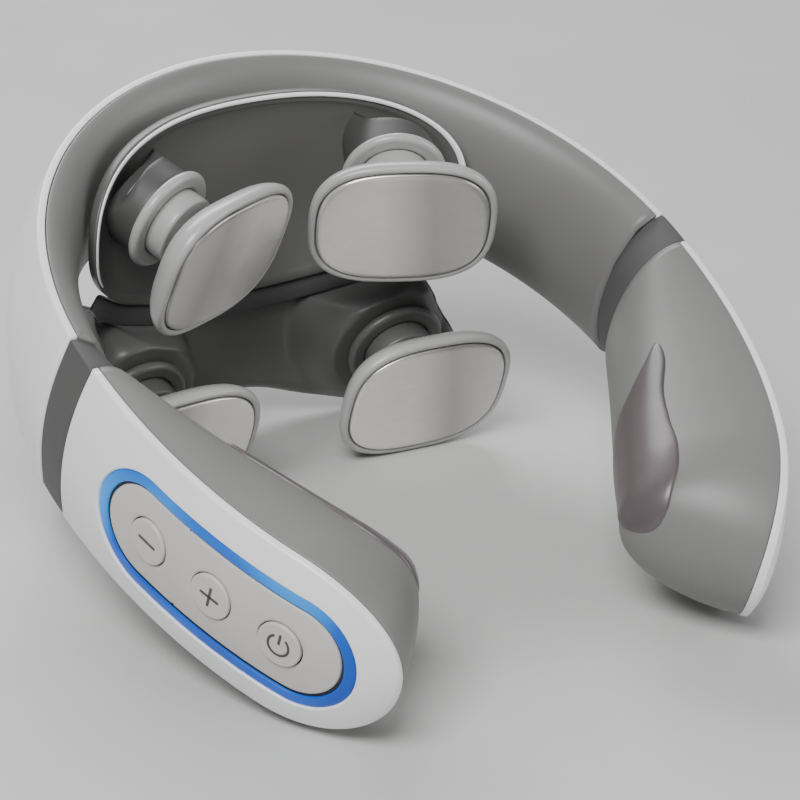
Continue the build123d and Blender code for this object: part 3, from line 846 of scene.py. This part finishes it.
def smooth_line(points, count=14):
    """Open smooth curve through the points."""
    p = np.array(points, float)
    p = np.vstack([2 * p[0] - p[1], p, 2 * p[-1] - p[-2]])
    out = []
    for i in range(1, len(p) - 2):
        out += catmull(p[i - 1], p[i], p[i + 1], p[i + 2], count)
    return np.array(out + [p[-2]])


def cover_point(t, z, lift):
    """Point at a height on the arm's grey cover, lifted off it."""
    run = arm_run(t)
    half, depth = max(arm_half(run), 0.5), max(arm_depth(run), 2.2)
    seam = LIP + SEAM
    phi = np.arcsin(np.clip(z / half, -0.999, 0.999))
    x = -seam - (depth - seam) * cos(phi)
    n = np.array([-cos(phi) / (depth - seam), sin(phi) / half])
    n /= np.linalg.norm(n)
    point, out = rim(t, RIM_FRONT)
    flat = point + (x + lift * n[0]) * out
    return np.array([flat[0], flat[1], z + lift * n[1]])


def pad_point(y, z, lift):
    """Point on the grey cover at a given y and height, lifted off it."""
    t = farthest(4.0, NOSE_ANGLE - 0.5, 34, lambda angle: cover_point(angle, z, 0.0)[1] > y)
    return cover_point(t, z, lift)


LEAF = [(-26.0, 13.9), (-31, 14.7), (-39, 13.7), (-47, 13.9), (-55, 14.4), (-61, 13.0), (-65.2, 9.2),
        (-66.0, 4.2), (-62.5, 0.6), (-55, -1.0), (-47, -1.6), (-40, -0.6), (-35, 2.6), (-31.8, 7.4),
        (-28.6, 11.4)]
leaf = smooth_loop(LEAF, 10)
middle = np.array([-50.0, 6.6])
pad_rows = []
for share, lift in ((0.06, -0.5), (0.5, -0.5), (0.9, -0.5), (0.985, -0.4), (1.0, -0.05), (1.0, 0.12),
                    (0.994, 0.3), (0.982, 0.44), (0.965, 0.54), (0.94, 0.6), (0.88, 0.65),
                    (0.75, 0.69), (0.6, 0.72), (0.45, 0.75), (0.3, 0.77), (0.15, 0.78), (0.04, 0.78)):
    pad_rows.append([pad_point(*(middle + (q - middle) * share), lift) for q in leaf])
pad_verts, pad_faces = fan_grid(band(pad_rows))
both_sides("{side}_side_pad_fine", pad_verts, pad_faces, PAD, "{side}_arm", ["{side}_side_pad"],
           "pad_silicone")


# ==== cradle
def oval_point(turn, grow, radius, share=1.0):
    """Point on the oval grown by a distance, set on an upright cylinder of that radius."""
    power = OVAL_POWER if sin(turn) > 0 else 2.0
    x = share * (OVAL_W + grow) * signed_power(cos(turn), 2 / power)
    z = OVAL_Z + share * (OVAL_H + grow) * signed_power(sin(turn), 2 / power)
    return REST + [x, CRADLE_Y + sqrt(radius ** 2 - x * x), z]


def oval_loop(grow, radius, share=1.0):
    """Loop round the oval, drawn in to a share of its size."""
    turns = np.linspace(0, 2 * pi, 200, endpoint=False)
    return [oval_point(t, grow, radius, share) for t in turns]


rows = [oval_loop(-8, DISH_BACK, share) for share in (0.03, 0.4, 0.8, 1.0)]
rows += [oval_loop(g, r) for g, r in (
    (-2, DISH_BACK), (-0.5, DISH_BACK), (-0.15, 69.5), (0, 69.25), (0, 68.4), (0, 67.6),
    (-0.06, 67.3), (-0.25, 67.1), (-0.55, 67.0), (-1.2, 66.98), (-1.9, 67.0), (-2.3, 67.08),
    (-2.6, 67.25), (-3.0, 67.42), (-4.2, 67.66), (-6.0, 67.9), (-8.0, 68.05), (-10.0, DISH_FLOOR))]
rows += [oval_loop(-10, DISH_FLOOR, share) for share in (0.93, 0.8, 0.6, 0.4, 0.2, 0.03)]
verts, faces = fan_grid(rows)
piece("cradle_upper_shell_fine", verts, faces, CRADLE, REAR, ["cradle_upper_shell"], "cradle_grey")

TRIM_INSET, TRIM_RADIUS = -0.62, 66.66
TRIM_HALF_WIDTH, TRIM_HALF_HEIGHT = 0.52, 0.30
turns = np.radians(np.linspace(-19, 199, 170))
rows = []
for i, t in enumerate(turns):
    end = min(i, len(turns) - 1 - i)
    full = min(1.0, 0.12 + 0.3 * sqrt(end)) if end < 9 else 1.0
    rows.append([oval_point(t, TRIM_INSET + TRIM_HALF_WIDTH * full * cos(a),
                            TRIM_RADIUS + TRIM_HALF_HEIGHT * full * sin(a))
                 for a in np.linspace(0, 2 * pi, 14, endpoint=False)])
verts, faces = fan_grid(rows)
# The trim's near-white colour is a painted highlight for the bright metal line.
piece("cradle_trim_fine", verts, faces, TRIM_PAINTED_WHITE, REAR, ["cradle_trim"], "trim_bright")

STRIP_GROW, STRIP_RADIUS = 2.9, 69.6
section = fillet_path([(2.4, 69.6), (2.4, 68.1), (0.0, 67.85), (-2.4, 68.1), (-2.4, 71.1), (2.4, 71.1)],
                      [0, 0.7, 0, 0.7, 0.4, 0.4])
turns = np.radians(np.linspace(-152.5, -27.5, 120))
rows = []
for i, t in enumerate(turns):
    end = min(i, len(turns) - 1 - i)
    full = sqrt(max(0.02, 1 - (1 - end / 6) ** 2)) if end < 6 else 1.0
    rows.append([oval_point(t, STRIP_GROW + g * (0.35 + 0.65 * full),
                            STRIP_RADIUS + (r - STRIP_RADIUS) * full) for g, r in section])
verts, faces = fan_grid(rows)
strip = piece("cradle_flex_strip_fine", verts, faces, FLEX, nodes=["cradle_flex_strip"],
              slot="joint_rubber")
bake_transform(strip)


# ---- lower shell: two round lobes with a dome behind each head ----
class Place:
    """Frame of a right-hand massage head."""

    def __init__(self, centre, yaw, flange):
        turn = radians(yaw)
        self.ahead = np.array([-sin(turn) * cos(HEAD_PITCH), -cos(turn) * cos(HEAD_PITCH),
                               -sin(HEAD_PITCH)])
        self.across = np.array([cos(turn), -sin(turn), 0.0])
        self.up = np.cross(self.ahead, self.across)
        self.centre = np.array(centre) + REST
        self.ball = self.centre - BALL_BEHIND * self.ahead
        self.flange = flange


HEADS = {"upper": Place(**UPPER), "lower": Place(**LOWER)}
LOWER_SIDE = [(40.4, 39.2), (40.9, 34), (43.5, 28.5), (47.6, 21.7), (49.6, 14.7), (48, 8), (42, 3.4),
              (31, 2.0), (19, 3.8), (8, 6.9), (0, 7.6)]


def by_length(line, count):
    """Points evenly spaced along a line."""
    step = np.concatenate([[0], np.cumsum(np.hypot(*np.diff(line, axis=0).T))])
    want = np.linspace(0, step[-1], count)
    return np.stack([np.interp(want, step, line[:, i]) for i in (0, 1)], -1)


bottom = smooth_line(LOWER_SIDE + [(-x, z) for x, z in LOWER_SIDE[-2::-1]])
xs = np.linspace(LOWER_SIDE[0][0], -LOWER_SIDE[0][0], 300)
grow_w, grow_h = OVAL_W + LOWER_GAP, OVAL_H + LOWER_GAP
top = np.stack([xs, OVAL_Z - grow_h * np.sqrt(1 - (xs / grow_w) ** 2)], -1)
COUNT = 190
bottom, top = by_length(bottom, COUNT), by_length(top, COUNT)
low_head = HEADS["lower"]
pod_centre = low_head.ball - low_head.ahead * (low_head.flange + 2.5)


def pod_front(x, z):
    """(share, y) of the dome nearest to a point; share is 1 under the flange and 0 past the foot."""
    m = 1 if x > 0 else -1
    n = low_head.ahead
    c = pod_centre - REST
    y = c[1] - ((abs(x) - c[0]) * n[0] + (z - c[2]) * n[2]) / n[1]
    d = np.array([abs(x), y, z]) - c
    far = np.linalg.norm(d - n * (d @ n))
    s = np.clip((far - POD_FLAT) / (POD_FOOT - POD_FLAT), 0, 1)
    return 1 - s * s * (3 - 2 * s), y


rows = []
shares = np.concatenate([np.linspace(0, 0.04, 4)[:-1], np.linspace(0.04, 0.8, 26)[:-1],
                         1 - 0.2 * np.cos(np.linspace(0, pi / 2, 14))])
for k in range(COUNT):
    front, back = [], []
    for v in shares:
        x, z = top[k] + (bottom[k] - top[k]) * v
        near_b = np.min(np.hypot(bottom[:, 0] - x, bottom[:, 1] - z))
        near_t = np.min(np.hypot(top[:, 0] - x, top[:, 1] - z))
        if near_b < 0.3 and v > 0.985:
            near_b = 0.3 * max(0.0, (1 - v) / 0.015)
        drop = 0.0
        for near, r in ((near_b, 4.0), (near_t, 0.9)):
            if near < r:
                drop = max(drop, r - sqrt(max(0.0, r * r - (r - near) ** 2)))
        y = CRADLE_Y + sqrt(LOWER_FRONT ** 2 - x * x)
        w, y_pod = pod_front(x, z)
        y = y - max(0.0, y - y_pod) * w + drop
        front.append(REST + [x, y, z])
        y = CRADLE_Y + sqrt(LOWER_BACK ** 2 - x * x)
        bevel = 0.5 * max(0.0, 1 - min(near_b, near_t) / 0.8)
        back.append(REST + [x, y - bevel, z])
    rows.append(front + back[::-1])
verts, faces = grid(rows)
piece("cradle_lower_shell_fine", verts, faces, CRADLE, "lower_cradle", ["cradle_lower_shell"],
      "cradle_grey")


# ==== massage heads
def squircle(w, h, inset, count=72):
    """Superellipse outline, drawn in by a distance all round."""
    wide, high, power = w / 2 - inset, h / 2 - inset, 2 / HEAD_POWER
    return np.array([(wide * signed_power(cos(t), power), high * signed_power(sin(t), power))
                     for t in np.linspace(0, 2 * pi, count, endpoint=False)])


def head_rows(place, stack):
    """Loops from (inset, depth, squareness, radius): squareness 1 follows the outline, 0 is round."""
    base = squircle(HEAD_W, HEAD_H, 0)
    circle = base / np.linalg.norm(base, axis=1)[:, None]
    loops = []
    for inset, depth, square, radius in stack:
        flat = squircle(HEAD_W, HEAD_H, min(inset, HEAD_H / 2 - 0.4))
        flat = flat * square + circle * radius * (1 - square)
        loops.append([place.centre + place.across * x + place.up * y + place.ahead * depth
                      for x, y in flat])
    return loops


def outline_loops(pairs):
    """Stack entries from (inset, depth) that follow the head's outline."""
    return [(inset, depth, 1, 0) for inset, depth in pairs]


HEAD_STACK = [(0, depth, 0, radius) for depth, radius in (
    (-10.2, 0.4), (-10.2, 3.0), (-10.15, 6.0), (-9.95, 6.7), (-9.4, 7.0), (-8.7, 7.2))]
HEAD_STACK += [(9.0, -8.15, 0.25, 8.4), (8.2, -7.75, 0.55, 10.0), (6.8, -7.3, 0.85, 11.5)]
HEAD_STACK += outline_loops([
    (5.2, -6.75), (3.6, -6.0), (2.2, -5.0), (1.1, -3.8), (0.4, -2.6), (0.05, -1.5), (0.1, -0.7),
    (0.4, -0.2), (0.85, 0.0), (1.25, -0.02), (1.5, -0.2), (1.56, -0.6), (1.56, -1.35), (1.9, -1.4),
    (4, -1.4), (9, -1.4), (15.5, -1.4)])
PLATE_STACK = outline_loops([
    (15, -1.3), (8, -1.3), (2.2, -1.3), (1.9, -1.2), (1.86, -0.5), (1.9, -0.1), (2.05, 0.16),
    (2.4, 0.32), (3.2, 0.42), (5, 0.56), (8, 0.72), (11, 0.82), (13.5, 0.86), (15.9, 0.88)])
COLLAR_TAIL = {"upper": (8.2, 9.2), "lower": (8.8, 10)}
BORE_DEPTH, STEM_TOP, STEM_WALL, END_GAP = 7.8, -6.5, 2.0, 0.6
COIL_RADIUS, COIL_PITCH, WIRE_RADIUS, PRESS = 4.4, 2.2, 0.5, 3.0
BOSS_RADIUS, BOSS_DEPTH = 10.25, 15.5


def collar_profile(level, face):
    """Flanged collar with its bore; face is the flange's height on the head's axis."""
    tail, tube = COLLAR_TAIL[level]
    out = [(0, face - tail), (tube - 0.6, face - tail), (tube, face - tail + 0.5), (tube, face - 3.4)]
    out += [(tube + 0.1, face - 2.7), (10.6, face - 2.45)]
    out += arc(10.35, face - 1.2, 1.25, -80, 78, 11)
    out += [(10.2, face - 0.02), (9.4, face), (8.7, face - 0.02), (8.3, face - 0.12)]
    out += [(8.12, face - 0.4), (8.1, face - 0.9), (8.1, face - BORE_DEPTH + 0.4)]
    return out + [(7.8, face - BORE_DEPTH + 0.05), (0, face - BORE_DEPTH)]


def stem_profile(face):
    """Sliding stem: a cup for the spring behind, a neck and a ball in front."""
    end, cup = face - 4.0, STEM_TOP - STEM_WALL
    out = [(0, cup), (5.0, cup), (5.5, -8.7), (5.6, -9.2), (5.6, end), (5.8, end - 0.02)]
    out += [(7.8, end), (8, end + 0.25), (8, -7.4)] + arc(7.3, -7.2, 0.7, 0, 90)
    out += [(3.4, STEM_TOP), (2.6, -6.1), (2.4, -5.4)]
    return out + [(4 * cos(t), 4 * sin(t)) for t in np.linspace(-0.927, pi / 2, 18)]


def spring_coil(place, low, high):
    """Coil spring between two heights on the head's axis."""
    a, b = square_to(place.ahead)
    loops = []
    for t in np.linspace(0, 2 * pi * (high - low) / COIL_PITCH, 110):
        radial = a * cos(t) + b * sin(t)
        spot = place.ball + radial * COIL_RADIUS + place.ahead * (low + COIL_PITCH * t / (2 * pi))
        loops.append([spot + (radial * cos(w) + place.ahead * sin(w)) * WIRE_RADIUS
                      for w in np.linspace(0, 2 * pi, 10, endpoint=False)])
    return fan_grid(loops)


def boss_skin(place, face):
    """Boss under an upper collar, in the darker cradle rubber as painted shade under the flange; kept
    inside the dish and off its back.
    """
    profile = [(0, face - 2.3), (8, face - 2.3), (9.9, face - 2.3), (10.15, face - 2.45)]
    profile += [(BOSS_RADIUS, face - back) for back in np.linspace(2.9, BOSS_DEPTH, 26)]
    verts, faces = turned(profile + [(0, face - BOSS_DEPTH)], place.ball, place.ahead)
    floor_y = CRADLE_Y + REST[1] + np.sqrt(69.0 ** 2 - np.clip(verts[:, 0], -50, 50) ** 2)
    verts[:, 1] = np.minimum(verts[:, 1], floor_y)
    middle, span = np.array([0, OVAL_Z + REST[2]]), np.array([OVAL_W - 3.6, OVAL_H - 4.4])
    spot = (verts[:, (0, 2)] - middle) / span
    over = np.maximum(1.0, (np.abs(spot) ** OVAL_POWER).sum(1) ** (1 / OVAL_POWER))
    deep = np.clip((verts[:, 1] - floor_y + 9.0) / 4.0, 0, 1)[:, None]
    verts[:, (0, 2)] = (spot / over[:, None] * deep + spot * (1 - deep)) * span + middle
    return verts, faces


for level, place in HEADS.items():
    face = -place.flange
    low, high = face - BORE_DEPTH + END_GAP, STEM_TOP - STEM_WALL - END_GAP
    collar = turned(collar_profile(level, face), place.ball, place.ahead)
    stem = turned(stem_profile(face), place.ball, place.ahead)
    coil = spring_coil(place, low, high)
    head_shell, plate = [fan_grid(head_rows(place, stack)) for stack in (HEAD_STACK, PLATE_STACK)]
    body, tone, tone_slot = "lower_cradle", CRADLE, "cradle_grey"
    if level == "upper":
        body, tone, tone_slot = REAR, BEZEL, "bezel_grey"
        # The bosses take the darker rubber as painted shade under the flanges.
        both_sides("upper_{side}_boss", *boss_skin(place, face), FLEX, REAR)
    for side in ("right", "left"):
        head = f"{level}_{side}"
        for name, (verts, faces), mat, owner, slot in (
                ("collar", collar, tone, body, tone_slot),
                ("stem", stem, tone, f"{head}_stem_body", tone_slot),
                ("spring", coil, STEEL, body, "spring_steel"),
                ("head_shell", head_shell, BEZEL, f"{head}_head", "bezel_grey"),
                ("electrode_plate", plate, PLATE, f"{head}_head", "electrode")):
            v = verts if side == "right" else mirrored(verts)
            obj = piece(f"{head}_{name}_fine", v, faces, mat, owner, [f"{head}_{name}"], slot)
            if name == "spring":
                m = np.array([1 if side == "right" else -1, 1, 1])
                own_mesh(obj)

# ==== the CAD's own pieces that stay
KEEP = {"rear_spine": STEEL, "cradle_hub": CRADLE, "hub_screws": STEEL, "cradle_back_cover": CRADLE,
        "cradle_lower_back": CRADLE, "cradle_back_screws": STEEL, "control_board": BOARD,
        "tact_switches": ICON, "board_screws": STEEL, "speaker": ICON, "battery_cell": FOIL,
        "charge_board": BOARD, "charge_board_screws": STEEL, "charge_socket": STEEL,
        "vibration_motor": STEEL}
for node, mat in KEEP.items():
    for material_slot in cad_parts[node].material_slots:
        material_slot.material = mat

# ==== floor, light and camera
floor_mat = plastic("studio_floor", (0.50, 0.50, 0.495), (0.53, 0.53, 0.525), 0.6, 60.0, 0.00001)
bm = bmesh.new()
bmesh.ops.create_grid(bm, x_segments=1, y_segments=1, size=3.0)
mesh = bpy.data.meshes.new("floor")
bm.to_mesh(mesh)
bm.free()
floor = bpy.data.objects.new("floor", mesh)
bpy.context.scene.collection.objects.link(floor)
mesh.materials.append(floor_mat)
floor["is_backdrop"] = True

world = bpy.data.worlds.new("studio")
bpy.context.scene.world = world
world.use_nodes = True
sky = world.node_tree.nodes["Background"]
sky.inputs["Color"].default_value = (0.86, 0.87, 0.88, 1)
sky.inputs["Strength"].default_value = 0.20


def softbox(name, at, aim, size, size_y, power):
    """Rectangular area light aimed at a point."""
    data = bpy.data.lights.new(name, "AREA")
    data.shape = "RECTANGLE"
    data.size, data.size_y, data.energy = size, size_y, power
    lamp = bpy.data.objects.new(name, data)
    lamp.location = at
    lamp.rotation_euler = (Vector(aim) - Vector(at)).to_track_quat("-Z", "Y").to_euler()
    bpy.context.scene.collection.objects.link(lamp)


softbox("key", (-0.55, -0.45, 0.85), (0, 0, 0.04), 0.6, 0.45, 15.5)
softbox("fill", (0.85, -0.65, 0.40), (0, 0, 0.04), 0.6, 0.5, 4.5)
softbox("rim", (0.15, 0.85, 0.75), (0, 0, 0.05), 0.9, 0.4, 10.0)

azimuth, elevation, roll = radians(-32.707), radians(25.322), radians(2.237)
back = Vector((sin(azimuth) * cos(elevation), -cos(azimuth) * cos(elevation), sin(elevation)))
right = Vector((cos(azimuth), sin(azimuth), 0))
up = back.cross(right)
across = right * cos(roll) + up * sin(roll)
upward = up * cos(roll) - right * sin(roll)
target = Vector((0, 0.00073, 0.04204)) + across * 0.00611 - upward * 0.00821
camera_data = bpy.data.cameras.new("camera")
camera_data.sensor_width = 36.0
camera_data.lens = 150.5
camera_data.clip_start, camera_data.clip_end = 0.05, 20.0
camera = bpy.data.objects.new("camera", camera_data)
bpy.context.scene.collection.objects.link(camera)
turn = Matrix((across, upward, back)).transposed()
camera.matrix_world = Matrix.Translation(target + back * 0.7) @ turn.to_4x4()
bpy.context.scene.camera = camera

low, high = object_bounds()
